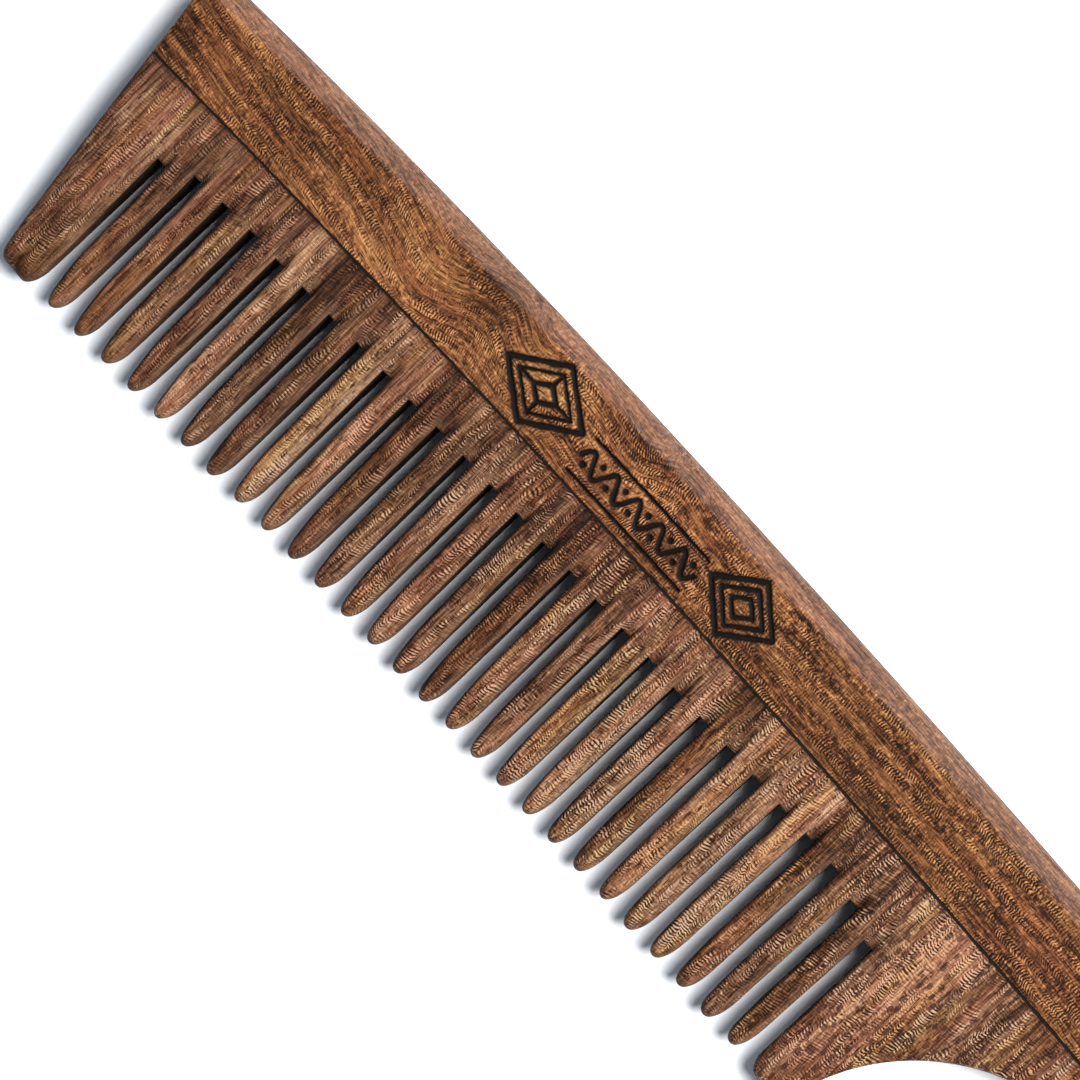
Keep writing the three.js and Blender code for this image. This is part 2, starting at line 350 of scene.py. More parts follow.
def board_columns():
    """The board's columns, left to right: kind, number in its kind, and place within it."""
    width = FIRST_SLOT_X
    places = np.concatenate([EDGE_INSETS, np.linspace(1.6, width - 1.6, 12), width - EDGE_INSETS[::-1]])
    places = np.sort(np.concatenate([places, groove_end(GROOVE_START)]))
    columns = [("end", 0, x / width) for x in places]
    for k in range(SLOT_COUNT):
        columns += [("slot", k, u) for u in SLOT_STATIONS]
        if k < SLOT_COUNT - 1:
            columns += [("tooth", k + 1, u) for u in TOOTH_STATIONS]
    span = HEEL_SPLIT_X - HEEL_X
    places = np.concatenate([EDGE_INSETS, np.linspace(1.5, span - 1.2, 24), span - 0.8 * EDGE_INSETS[::-1]])
    columns += [("heel", 0, x / span) for x in places]
    handle = [[147.6, *groove_end(GROOVE_END)], np.linspace(149, 190, 60)]
    handle += [np.linspace(190.5, BOARD_END_X - 0.6, 16)]
    handle += [BOARD_END_X - np.array([0.4, 0.25, 0.12, 0.04, 0.0])]
    columns += [("handle", 0, x) for x in np.concatenate(handle)]
    return columns


def slot_root_y(k):
    special = {0: FIRST_ROOT_Y, 1: SECOND_ROOT_Y}
    special |= {SLOT_COUNT - 2: NEXT_TO_LAST_ROOT_Y, SLOT_COUNT - 1: LAST_ROOT_Y}
    rng = np.random.default_rng(SEED + 100 + k)
    return special.get(k, ROOT_Y + rng.uniform(-0.12, 0.1))


def tooth_tip_y(k):
    rng = np.random.default_rng(SEED + 200 + k)
    return lerp(-30.45, -29.95, k / SLOT_COUNT) + rng.uniform(-0.12, 0.12)


def root_at(kind, k, u):
    """The row that the slots end on, carried smoothly across the teeth between them."""
    if kind == "slot":
        return slot_root_y(k)
    if kind == "end":
        return slot_root_y(0)
    if kind == "tooth":
        return lerp(slot_root_y(k - 1), slot_root_y(k), smoothstep(-1, 1, u))
    if kind == "heel":
        return lerp(LAST_ROOT_Y, HEEL_SPLIT_Y, u)
    return float(handle_edge_y(np.array(u)))


def tip_at(kind, k, u):
    if kind == "end":
        return END_TOOTH_TIP_Y + 0.25 * (1 - u)
    if kind == "tooth":
        return tooth_tip_y(k)
    return TIP_Y


def tooth_lean(x):
    """How far a tooth leans to the right by its tip; the ones near the handle lean the other way."""
    return LEAN_RIGHT * np.exp(-(((x - 66) / 24) ** 2)) - LEAN_LEFT * smoothstep(88, 135, x)


def corner_inset(y, tip, corner, length):
    """How far a side has drawn in where an elliptical corner rounds it off towards the tip."""
    t = np.clip(1 - (y - tip) / length, 0, 1)
    return corner * (1 - np.sqrt(np.clip(1 - t * t, 0, 1)))


def tooth_sides(k, y):
    """A narrow tooth's edges down the rows y: leaning, sanded unevenly, lopsided at the tip."""
    tip = tooth_tip_y(k)
    along_comb = k / SLOT_COUNT
    down = np.clip((ROOT_Y - y) / (ROOT_Y - TIP_Y), 0, 1)
    half = lerp(TOOTH_HALF, SHOULDER_HALF, down)
    centre = FIRST_SLOT_X + PITCH * (k - 1) + SLOT_WIDTH + TOOTH_HALF
    centre = centre + tooth_lean(centre) * down
    blunt = (1 - np.clip(1 - (y - tip) / TIP_LENGTH, 0, 1) ** 4.0) ** 0.5
    slant = np.clip(1 - (y - tip) / TIP_SLANT, 0, 1)
    turn = np.clip(1 - (y - tip) / lerp(3.0, 4.4, along_comb), 0, 1)
    sanding = np.random.default_rng(SEED + 300 + k).uniform(-1, 1, 2)
    left_half = (half + SANDED_LEFT * sanding[0] * down) * (1 - lerp(0.5, 0.2, along_comb) * slant**1.5)
    right_half = (half + SANDED_RIGHT * sanding[1] * down) * (1 - turn**2.3) ** 0.5
    return centre - left_half * blunt, centre + right_half


def board_sides(kind, k, y):
    """Left and right edge of the end tooth, a narrow tooth or the heel, down the rows y."""
    if kind == "tooth":
        return tooth_sides(k, y)
    if kind == "end":
        left = left_end_x(y) + corner_inset(y, END_TOOTH_TIP_Y, *END_TOOTH_LEFT)
        right = FIRST_SLOT_X - 0.1 * smoothstep(-10, -30, y)
        return left, right - corner_inset(y, END_TOOTH_TIP_Y, *END_TOOTH_RIGHT)
    notch = NOTCH_X - np.sqrt(NOTCH_RADIUS**2 - (np.minimum(y, HEEL_SPLIT_Y) - NOTCH_Y) ** 2)
    right = np.where(y > HEEL_SPLIT_Y, HEEL_SPLIT_X, notch) - corner_inset(y, TIP_Y, *HEEL_RIGHT)
    return HEEL_X + corner_inset(y, TIP_Y, *HEEL_LEFT), right


def place_column(kind, k, u, y):
    """A column's x down the rows y, and its distance from the edge at its left and at its right."""
    no_edge = np.full_like(y, NO_EDGE)
    if kind == "slot":
        return FIRST_SLOT_X + PITCH * k + SLOT_WIDTH * (u + 1) / 2 + 0 * y, 0 * y, 0 * y
    if kind == "handle":
        return u + 0 * y, no_edge, no_edge
    left, right = board_sides(kind, k, y)
    x = lerp(left, right, (u + 1) / 2 if kind == "tooth" else u)
    return x, x - left, no_edge if kind == "heel" else right - x


def board_drop(kind, k, x, y, root, tip, left, right):
    """How far the upper face falls below its flat: edge roundings, run-outs and tips."""
    fade = np.clip(1 - (y - root) / RUNOUT_LENGTH, 0, 1) ** 1.15
    if kind == "slot":
        return TOOTH_EDGE_DROP * fade * (1.0 if 0 < k else 0.9)
    half = half_thickness(y)
    near_tip = smoothstep(6.0, 0.0, y - tip)
    depth = lerp(TOOTH_EDGE_DROP, 0.72 * half, near_tip)
    left_radius = lerp(LEFT_ROUNDING, 1.0, near_tip)
    right_radius = lerp(RIGHT_ROUNDING, 1.1, near_tip)
    drop = 0 * y
    if kind in ("end", "tooth", "heel"):
        left_fade = 1.0 if kind == "end" else fade
        drop = depth * left_fade * rounding(left, left_radius)
    if kind in ("end", "tooth"):
        drop = np.maximum(drop, depth * fade * rounding(right, right_radius))
    if kind in ("end", "tooth", "heel"):
        at_tip = 0.85 * half * rounding(np.clip(y - tip, 0, None), TIP_ROUNDING)
        drop = np.hypot(drop, at_tip)
    if kind in ("heel", "handle"):
        towards_end = smoothstep(158, 186, x)
        edge_depth = lerp(NOTCH_DROP, HALF - EDGE_FLAT, towards_end)
        edge_radius = lerp(NOTCH_ROUNDING, BACK_ROUNDING, towards_end)
        drop = np.hypot(drop, edge_depth * rounding(handle_edge_distance(x, y), edge_radius))
    return np.minimum(drop, half - THINNEST_HALF)


def board_painted_shade_and_dark_tips(kind, u, y, root, tip, left):
    """Painted shade on the teeth's left edges and the run-outs' walls, which face away from the lamp, widest
    on the end tooth's left edge; the tips are darker too.
    """
    if kind == "slot":
        return 0.9 * smoothstep(-0.3, 0.6, u) * (1 - smoothstep(0.3, RUNOUT_LENGTH, y - root))
    if kind not in ("end", "tooth", "heel"):
        return 0 * y
    edge = 1 - smoothstep(0.2, 0.58, left)
    beside_slot = 1 - smoothstep(0.0, RUNOUT_LENGTH, y - root)
    at_tip = 0.75 * (1 - smoothstep(0.0, 1.1, y - tip)) if kind != "heel" else 0
    if kind == "end":
        beside_slot = 0.8
        edge = np.maximum(edge, 0.35 * (1 - smoothstep(0.5, 3.2, left)))
        at_tip = np.maximum(at_tip, 0.7 * (1 - smoothstep(0.4, 3.4, y - tip)))
    return np.maximum(edge * beside_slot, at_tip)


def board_painted_wall_shade(kind, y, root, tip, left, right):
    """Painted shade on the slots' walls: darkest at the roots, lightest at the tips."""
    if kind == "slot":
        return 1.0 * (y <= root + WALL_BAND)
    if kind not in ("end", "tooth", "heel"):
        return 0 * y
    on_wall = (y < root + WALL_BAND) & (np.minimum(right, NO_EDGE if kind == "end" else left) < WALL_BAND)
    return on_wall * lerp(0.3, 0.97, smoothstep(3.0, 17.0, y - tip))


def board_highlight_and_paling(kind, y, root, right):
    """Painted highlight on the teeth's right edges, which face the lamp; the run-outs' floors are paler too.
    """
    if kind == "slot":
        return 0.35 * (1 - smoothstep(0.3, RUNOUT_LENGTH, y - root))
    if kind not in ("end", "tooth"):
        return 0 * y
    return 0.75 * (1 - smoothstep(0.25, 0.95, right)) * (1 - smoothstep(-1.0, RUNOUT_LENGTH, y - root))


def board_tone(columns):
    """The wood's tone for every column: one level for each tooth, blended across the slots."""
    levels = []
    for kind, k, u in columns:
        if kind == "end":
            levels.append(TONE_LEVELS[TOOTH_TONES[0]])
        elif kind == "tooth":
            levels.append(TONE_LEVELS[TOOTH_TONES[k]])
        elif kind == "slot":
            after = TOOTH_TONES[min(k + 1, SLOT_COUNT - 1)]
            levels.append(lerp(TONE_LEVELS[TOOTH_TONES[k]], TONE_LEVELS[after], (u + 1) / 2))
        elif kind == "heel":
            levels.append(0.9 - 0.55 * abs(u - 0.45))
        else:
            levels.append(0.42 - 0.1 * math.sin(u / 5))
    return np.array(levels)


def build_tooth_board():
    columns = board_columns()
    root_steps = np.linspace(0, 1, ROOT_ROWS + 1) ** 0.8
    tooth_steps = 1 - (1 - np.linspace(0, 1, TOOTH_ROWS + 1)) ** 1.45
    grids = []
    for kind, k, u in columns:
        root, tip = root_at(kind, k, u), tip_at(kind, k, u)
        y = np.concatenate([lerp(-0.12, root, root_steps), lerp(root, tip, tooth_steps[1:])])
        x, left, right = place_column(kind, k, u, y)
        y[0] = -joint_half_gap(x[:1], 1)[0]
        drop = board_drop(kind, k, x, y, root, tip, left, right)
        stain_and_shade = board_painted_shade_and_dark_tips(kind, u, y, root, tip, left)
        highlight_and_paling = board_highlight_and_paling(kind, y, root, right)
        painted_wall_shade = board_painted_wall_shade(kind, y, root, tip, left, right)
        grids.append((x, y, drop, stain_and_shade, highlight_and_paling, painted_wall_shade))
    x, y, drop, stain_and_shade, highlight_and_paling, painted_wall_shade = (np.array(grid).T for grid in zip(*grids))
    reach = half_thickness(y) - drop
    top = np.stack([x, y, HALF + reach], axis=-1)
    bottom = np.stack([x, y, HALF - reach], axis=-1)

    kinds = np.array([c[0] for c in columns])
    cells = np.ones((ROOT_ROWS + TOOTH_ROWS, len(columns) - 1), dtype=bool)
    open_below = (kinds[:-1] == "slot") | (kinds[1:] == "slot") | (kinds[1:] == "handle")
    cells[ROOT_ROWS:, open_below] = False
    points, faces, used = closed_shell(top, bottom, cells, -1)
    tone = np.broadcast_to(board_tone(columns), x.shape)
    attributes = {"grain": points, "tone": on_points(tone, used)}
    # Painted shade, darker tips, and glue soaked in beside the joint.
    attributes["stain_and_shade"] = np.maximum(on_points(stain_and_shade, used), seep(points))
    # Painted highlight on the right edges, and paler run-out floors.
    attributes["highlight_and_paling"] = on_points(highlight_and_paling, used)
    # Painted shade on the slots' walls.
    attributes["painted_wall_shade"] = on_points(painted_wall_shade, used)
    along, across = points[:, 0], points[:, 1]
    attributes["root"] = smoothstep(-9, -5, across) * smoothstep(20, 45, along)
    attributes["root"] *= smoothstep(150, 110, along)
    attributes["fleck"] = smoothstep(HEEL_X - 4, HEEL_X + 2, along) * smoothstep(168, 150, along)
    return make_mesh_object("tooth_board", points, faces, attributes)


# ===== The burned ornament: plain geometric figures along the rail's flat face
ORNAMENT_START, ORNAMENT_END = 52.5, 100.5
ORNAMENT_STEP = 0.15
ORNAMENT_Y = 5.4
FIRST_DIAMOND_X, SECOND_DIAMOND_X = 60.3, 93.6
DIAMOND_RATIO = 0.82
WAVE_START, WAVE_END = 68.2, 87.2
WAVE_Y = ORNAMENT_Y - 1.6
WAVE_LENGTH = 3.8
WAVE_HEIGHT = 1.25
STROKE = 0.3
BURN_DEPTH = 0.32
SCORCH = 0.4


def closed_figure(x, y, half_width, half_height, sides):
    angles = np.linspace(0, 2 * math.pi, sides + 1)
    return np.stack([x + half_width * np.cos(angles), y + half_height * np.sin(angles)], axis=-1)


def first_diamond():
    """Three nested diamonds with spokes between the two inner ones."""
    x, y = FIRST_DIAMOND_X, ORNAMENT_Y
    strokes = [(closed_figure(x, y, 6.3, 4.5, 4), STROKE * 1.15)]
    strokes.append((closed_figure(x, y, 4.4, 3.1, 4), STROKE * 0.6))
    strokes.append((closed_figure(x, y, 1.9, 1.35, 4), STROKE))
    for side in (-1, 1):
        strokes.append((np.array([[x + side * 1.9, y], [x + side * 4.4, y]]), STROKE * 0.7))
        strokes.append((np.array([[x, y + side * 1.35], [x, y + side * 3.1]]), STROKE * 0.7))
    return strokes


def wave_border():
    """A wave with a dot in each bend, between two thin lines."""
    x = np.linspace(WAVE_START, WAVE_END, 90)
    wave = WAVE_Y + WAVE_HEIGHT * np.sin((x - WAVE_START) * 2 * math.pi / WAVE_LENGTH)
    strokes = [(np.stack([x, wave], axis=-1), STROKE * 1.05)]
    for step in range(10):
        up = 1 if step % 2 else -1
        dot = closed_figure(WAVE_START + 0.95 + WAVE_LENGTH / 2 * step, WAVE_Y + up * 0.75, 0.16, 0.16, 6)
        strokes.append((dot, STROKE * 0.8))
    for level in (-3.0, 3.0):
        x = np.linspace(WAVE_START, WAVE_END, 12)
        strokes.append((np.stack([x, WAVE_Y + 0.82 * level + 0 * x], axis=-1), STROKE * 0.55))
    return strokes


def second_diamond():
    """Three nested diamonds."""
    strokes = []
    x, y = SECOND_DIAMOND_X, ORNAMENT_Y
    for reach in (5.2, 3.5, 1.8):
        rise = DIAMOND_RATIO * reach
        corners = [[x - reach, y], [x, y + rise], [x + reach, y], [x, y - rise]]
        strokes.append((np.array(corners + corners[:1]), STROKE * (0.9 if reach < 5 else 1.15)))
    return strokes


def ornament_strokes():
    """Polylines of the burned figures, each with the half width of its stroke."""
    return first_diamond() + wave_border() + second_diamond()


def stroke_distance(x, y, line):
    """Each point's distance from a polyline."""
    best = np.full(x.shape, 1e3)
    for (x0, y0), (x1, y1) in zip(line[:-1], line[1:]):
        length2 = max((x1 - x0) ** 2 + (y1 - y0) ** 2, 1e-9)
        t = np.clip(((x - x0) * (x1 - x0) + (y - y0) * (y1 - y0)) / length2, 0, 1)
        best = np.minimum(best, np.hypot(x - x0 - t * (x1 - x0), y - y0 - t * (y1 - y0)))
    return best


def burn_field(x, y):
    """Depth of the burned groove, and how dark the wood is charred in and around it."""
    depth = np.zeros_like(x)
    char = np.zeros_like(x)
    near = (x > ORNAMENT_START - 1) & (x < ORNAMENT_END + 1)
    px, py = x[near], y[near]
    shaken_x = px + 0.05 * wobble(py + 0.3 * px, 31, 0.45)
    shaken_y = py + 0.05 * wobble(px, 32, 0.5)
    near_depth, near_char = np.zeros_like(px), np.zeros_like(px)
    pressure = 1 + 0.22 * wobble(px + 0.7 * py, 33, 0.9)
    for line, half in ornament_strokes():
        distance = stroke_distance(shaken_x, shaken_y, line)
        width = half * pressure
        near_depth = np.maximum(near_depth, BURN_DEPTH * np.clip(1 - (distance / width) ** 2, 0, 1) ** 0.7)
        halo = 0.62 * (1 - smoothstep(width * 0.75, width + SCORCH, distance))
        charred = np.where(distance < width, 1 - 0.25 * (distance / width) ** 2, halo)
        near_char = np.maximum(near_char, charred)
    depth[near], char[near] = near_depth, near_char
    return depth, char


# ===== The spine rail
def rail_columns():
    insets = 0.8 * EDGE_INSETS
    groups = [insets, np.linspace(1.2, GROOVE_START - 0.5, 9), groove_end(GROOVE_START)]
    groups += [np.linspace(7.3, ORNAMENT_START, 56)]
    groups += [np.arange(ORNAMENT_START + ORNAMENT_STEP, ORNAMENT_END, ORNAMENT_STEP)]
    groups += [np.linspace(101, 148, 50), groove_end(GROOVE_END), np.linspace(149, 180, 36)]
    return np.concatenate(groups)


def rail_rows():
    flat = np.concatenate([[0.22], np.arange(0.35, 10.1, 0.155)])
    insets = np.array([1.04, 0.92, 0.8, 0.67, 0.54, 0.42, 0.31, 0.21, 0.13, 0.07, 0.03, 0.0])
    return np.concatenate([[0.0], flat, BACK_Y - BACK_ROUNDING * insets])


def rail_left_x(y, top_y):
    """The rail's slanted left end with its rounded upper corner."""
    t = np.clip(1 - (top_y - y) / END_CORNER, 0, 1)
    return left_end_x(y) + 0.92 * END_CORNER * (1 - np.sqrt(np.clip(1 - t * t, 0, 1)))


def rail_edge_drop(x, y):
    """The rounded back, the softly broken left end and the round handle end."""
    from_back = back_y(x) - y
    from_left = (x - left_end_x(y)) * math.cos(END_ANGLE)
    from_end = np.where(x > HANDLE_X, HANDLE_RADIUS - np.hypot(x - HANDLE_X, y - HANDLE_Y), from_back)
    corner = np.clip(END_CORNER - from_back, 0, None), np.clip(END_CORNER - from_left, 0, None)
    at_corner = (corner[0] > 0) & (corner[1] > 0)
    to_corner = END_CORNER - np.hypot(*corner)
    share = corner[0] ** 2 / np.clip(corner[0] ** 2 + corner[1] ** 2, 1e-6, None)
    back_drop = HALF - EDGE_FLAT
    back = back_drop * creased_rounding(np.clip(from_end, 0, None), BACK_ROUNDING)
    end = END_DROP * rounding(np.clip(from_left, 0, None), END_ROUNDING)
    radius = lerp(END_ROUNDING, BACK_ROUNDING, share)
    mixed = lerp(END_DROP, back_drop, share) * creased_rounding(np.clip(to_corner, 0, None), radius)
    return np.where(at_corner, mixed, np.hypot(back, end))


# Centres of the rail's figure: x, y, the grain's turn in degrees, and the reach.
FIGURES = ((45.0, 5.0, 20, 7.5), (53.0, 9.0, -32, 4.5), (75.5, 10.5, 30, 5.5), (68.0, 1.0, -14, 6.0))
GRAIN_SLOPE, SLOPE_END_X = 0.16, 40

# Light and dark patches of the rail: x, y, the reach, and how much lighter.
PATCHES = (
    (48.5, 8.5, 4.0, -0.34),
    (40, 4, 11, 0.30),
    (61, 8, 5, 0.28),
    (76, 6, 4.5, 0.34),
    (20, 6, 8, -0.04),
)


def rail_grain(points):
    """Grain coordinates of the rail: straight at the right, turned round several centres of figure."""
    x, y = points[:, 0], points[:, 1]
    u = x.copy()
    v = y + GRAIN_SLOPE * np.where(x < SLOPE_END_X, x, SLOPE_END_X) + 0.25 * wobble(x, 51, 9.0)
    for centre_x, centre_y, degrees, radius in FIGURES:
        centre_v = centre_y + GRAIN_SLOPE * min(centre_x, SLOPE_END_X)
        away = np.hypot(x - centre_x, (y - centre_y) * 0.8)
        angle = math.radians(degrees) * np.exp(-((away / radius) ** 2))
        du, dv = u - centre_x, v - centre_v
        u = centre_x + du * np.cos(angle) + dv * np.sin(angle)
        v = centre_v - du * np.sin(angle) + dv * np.cos(angle)
    return np.stack([u, v, points[:, 2]], axis=-1)


def rail_shade(points):
    """Where the rail's wood is lighter or darker than usual: knot shadows and golden patches."""
    x, y = points[:, 0], points[:, 1]
    shade = 0 * x
    for centre_x, centre_y, radius, amount in PATCHES:
        away = np.hypot(x - centre_x, (y - centre_y) * 1.4) / radius
        shade += amount * np.exp(-(away**2))
    return shade - 0.12 * smoothstep(6, 0, x) - 0.07 * smoothstep(92, 112, x)


def build_spine_rail():
    columns, rows = rail_columns(), rail_rows()
    end_steps = np.linspace(0, 1, 30)[1:] ** 0.75
    count = len(columns) + len(end_steps)
    x = np.zeros((len(rows), count))
    y = np.zeros_like(x)
    for j, level in enumerate(rows):
        left = rail_left_x(level, BACK_Y)
        end_x = HANDLE_X + math.sqrt(max(HANDLE_RADIUS**2 - (level - HANDLE_Y) ** 2, 0))
        start = np.where(columns < 12, lerp(left, 12, columns / 12), columns)
        x[j] = np.concatenate([start, lerp(columns[-1], end_x, end_steps)])
        y[j] = level * back_y(x[j]) / BACK_Y
    y[0] = joint_half_gap(x[0], 0)
    inner = y > 0.5
    burn, char = burn_field(x, y)
    drop = np.clip(rail_edge_drop(x, y), 0, HALF - THINNEST_HALF)
    top = np.stack([x, y, THICKNESS - drop - burn * inner], axis=-1)
    bottom = np.stack([x, y, drop], axis=-1)
    points, faces, _ = closed_shell(top, bottom, np.ones((len(rows) - 1, count - 1), dtype=bool), 1)
    _, point_char = burn_field(points[:, 0], points[:, 1])
    point_char *= points[:, 2] > HALF + 1
    attributes = {"grain": rail_grain(points), "shade": rail_shade(points), "char": point_char}
    # On the rail this is only glue soaked in beside the joint.
    attributes["stain_and_shade"] = seep(points)
    from_back = back_y(points[:, 0]) - points[:, 1]
    # Painted sheen on the rounded back band.
    attributes["highlight_and_paling"] = 1 - smoothstep(0.75 * BACK_ROUNDING, 1.05 * BACK_ROUNDING, from_back)
    return make_mesh_object("spine_rail_wood", points, faces, attributes)


# ===== The glue line
GLUE_BULGE = 0.03


def glue_strip(x, upper, lower, low, high, bulge_low, bulge_high):
    """One closed strip of glue along the joint, as points and quads."""
    rows = [(upper, high), (0 * x, high + bulge_high), (lower, high)]
    rows += [(lower, low), (0 * x, low - bulge_low), (upper, low)]
    sections = np.stack([np.stack([x, across, z], axis=-1) for across, z in rows])
    count = len(x)
    index = np.arange(6 * count).reshape(6, count)
    around = np.concatenate([index, index[:1]])
    quads = [np.stack([a[:-1], a[1:], b[1:], b[:-1]], axis=1) for a, b in zip(around, around[1:])]
    for end in (0, -1):
        column = index[:, end]
        quads.append(np.array([column[[0, 1, 4, 5]], column[[1, 2, 3, 4]]]))
    return sections.reshape(-1, 3), np.concatenate(quads)


def build_glue_line():
    """The dark glue in the joint, a little below both faces, above and below the spline."""
    x = np.concatenate([[0.12], np.arange(0.35, BOARD_END_X - 0.3, 0.3)])
    sink = 0.16 + 0.06 * wobble(x, 71, 0.9)
    upper, lower = joint_half_gap(x, 0), -joint_half_gap(x, 1)
    end_round = 2.4 * rounding(BOARD_END_X - x, 2.3)
    inner = np.where((x > GROOVE_START - 0.3) & (x < GROOVE_END + 0.3), GROOVE_HALF + 0.05, 0.02)
    over, faces = glue_strip(x, upper, lower, HALF + inner, THICKNESS - sink - end_round, 0.0, GLUE_BULGE)
    under, more = glue_strip(x, upper, lower, sink + end_round, HALF - inner, GLUE_BULGE, 0.0)
    points = np.concatenate([over, under])
    faces = np.concatenate([faces, more + len(over)]).tolist()
    return make_mesh_object("glue_line", points, faces, {"grain": points})


# ===== Materials
class Shader:
    """A material's node tree, with short calls for the nodes that the woods are made of."""

    def __init__(self, name):
        self.material = bpy.data.materials.new(name)
        self.material.use_nodes = True
        self.tree = self.material.node_tree
        self.surface = self.tree.nodes["Principled BSDF"]

    def node(self, kind, **settings):
        made = self.tree.nodes.new(kind)
        for key, value in settings.items():
            setattr(made, key, value)
        return made

    def put(self, socket, value):
        if isinstance(value, bpy.types.NodeSocket):
            self.tree.links.new(value, socket)
        else:
            socket.default_value = value

    def attribute(self, name, output="Fac"):
        return self.node("ShaderNodeAttribute", attribute_name=name).outputs[output]

    def math(self, operation, a, b=0.0, clamp=False):
        made = self.node("ShaderNodeMath", operation=operation, use_clamp=clamp)
        self.put(made.inputs[0], a)
        self.put(made.inputs[1], b)
        return made.outputs[0]

    def times(self, a, b):
        return self.math("MULTIPLY", a, b)

    def scaled(self, vector, scale, shift=(0.0, 0.0, 0.0)):
        made = self.node("ShaderNodeVectorMath", operation="MULTIPLY_ADD")
        self.put(made.inputs[0], vector)
        self.put(made.inputs[1], scale)
        self.put(made.inputs[2], shift)
        return made.outputs[0]

    def noise(self, vector, scale, detail=2.0, roughness=0.5, shift=(0.0, 0.0, 0.0), distortion=0.0):
        made = self.node("ShaderNodeTexNoise")
        self.put(made.inputs["Vector"], self.scaled(vector, scale, shift))
        self.put(made.inputs["Scale"], 1.0)
        self.put(made.inputs["Detail"], detail)
        self.put(made.inputs["Roughness"], roughness)
        self.put(made.inputs["Distortion"], distortion)
        return made.outputs["Fac"]

    def cells(self, vector, scale, shift=(0.0, 0.0, 0.0)):
        """Irregular cells: how near each point is to its cell's middle, and a random value for each cell."""
        made = self.node("ShaderNodeTexVoronoi", feature="F1")
        self.put(made.inputs["Vector"], self.scaled(vector, scale, shift))
        self.put(made.inputs["Scale"], 1.0)
        self.put(made.inputs["Randomness"], 0.85)
        split = self.node("ShaderNodeSeparateColor")
        self.put(split.inputs[0], made.outputs["Color"])
        return self.span(made.outputs["Distance"], 0.15, 0.62, 1.0, 0.0), split.outputs[0]

    def span(self, value, low, high, to_low=0.0, to_high=1.0):
        made = self.node("ShaderNodeMapRange", interpolation_type="SMOOTHSTEP")
        for socket, number in zip(made.inputs[:5], (value, low, high, to_low, to_high)):
            self.put(socket, number)
        return made.outputs[0]

    def ramp(self, value, stops):
        made = self.node("ShaderNodeValToRGB")
        elements = made.color_ramp.elements
        while len(elements) < len(stops):
            elements.new(0.5)
        for element, (position, colour) in zip(elements, stops):
            element.position = position
            element.color = (*colour, 1.0)
        self.put(made.inputs[0], value)
        return made.outputs["Color"]

    def mix(self, factor, a, b, blend="MIX"):
        made = self.node("ShaderNodeMix", data_type="RGBA", blend_type=blend, clamp_factor=True)
        colours = [(*c, 1.0) if isinstance(c, tuple) else c for c in (a, b)]
        self.put(made.inputs[0], factor)
        self.put(made.inputs[6], colours[0])
        self.put(made.inputs[7], colours[1])
        return made.outputs[2]

    def ripple_bend(self, vector, scale, reach):
        """A slow noise as a shift along one axis, to bend a pattern."""
        made = self.node("ShaderNodeVectorMath", operation="SCALE")
        self.put(made.inputs[0], reach)
        self.put(made.inputs["Scale"], self.math("SUBTRACT", self.noise(vector, scale, 1.0), 0.5))
        return made.outputs[0]

    def part(self, vector, axis):
        made = self.node("ShaderNodeSeparateXYZ")
        self.put(made.inputs[0], vector)
        return made.outputs[axis]

    def swing(self, value, amount):
        """A noise's departure from its middle, as plus or minus an amount."""
        return self.times(self.math("SUBTRACT", value, 0.5), amount)

    def total(self, *terms):
        result = terms[0]
        for term in terms[1:]:
            result = self.math("ADD", result, term)
        return result

    def bump(self, height, depth_mm):
        """Fine relief of the whole surface."""
        made = self.node("ShaderNodeBump")
        made.inputs["Distance"].default_value = depth_mm * MM
        self.put(made.inputs["Height"], height)
        self.put(self.surface.inputs["Normal"], made.outputs["Normal"])

    def finish(self, colour, roughness, specular):
        """Colour, roughness and sheen of the whole surface, as nodes or as single values."""
        self.put(self.surface.inputs["Base Color"], colour)
        self.put(self.surface.inputs["Roughness"], roughness)
        self.surface.inputs["Specular IOR Level"].default_value = specular
        return self.material


BOARD_TONES = (
    (0.0, (0.006984, 0.002995, 0.001577)),
    (0.2, (0.02328, 0.009568, 0.004731)),
    (0.4, (0.06596, 0.02829, 0.01419)),
    (0.55, (0.1164, 0.05574, 0.02918)),
    (0.7, (0.1746, 0.09318, 0.05204)),
    (0.85, (0.2561, 0.1539, 0.09068)),
    (1.0, (0.3725, 0.2496, 0.1577)),
)
RAIL_TONES = (
    (0.0, (0.007128, 0.002584, 0.0009792)),
    (0.2, (0.02534, 0.00874, 0.002938)),
    (0.4, (0.07524, 0.02736, 0.009466)),
    (0.55, (0.1307, 0.05092, 0.01763)),
    (0.7, (0.1901, 0.08208, 0.03003)),
    (0.85, (0.2653, 0.1254, 0.0457)),
    (1.0, (0.3643, 0.19, 0.07507)),
)
GLUE_TONES = ((0.3, (0.003, 0.002, 0.0016)), (0.55, (0.006, 0.0035, 0.0025)), (0.8, (0.03, 0.014, 0.008)))
SPLINE_TONES = ((0.25, (0.20, 0.11, 0.05)), (0.5, (0.38, 0.23, 0.11)), (0.75, (0.52, 0.36, 0.20)))
BOARD_PORE, RAIL_PORE = (0.012, 0.004, 0.0025), (0.011, 0.004, 0.002)
# Painted highlight tones for the board's right edges and paler run-out floors, then painted sheen tones for
# the rail's rounded back.
BOARD_HIGHLIGHT_AND_PALE = (0.075, 0.038, 0.022), (0.14, 0.078, 0.048)
RAIL_SHEEN = (0.100, 0.054, 0.038), (0.21, 0.126, 0.092)
# A fleck colour, then a tint for painted shade, darker tips and glue beside the joint.
FLECK, STAIN_AND_SHADE_TINT = (0.030, 0.009, 0.006), (0.20, 0.14, 0.12)
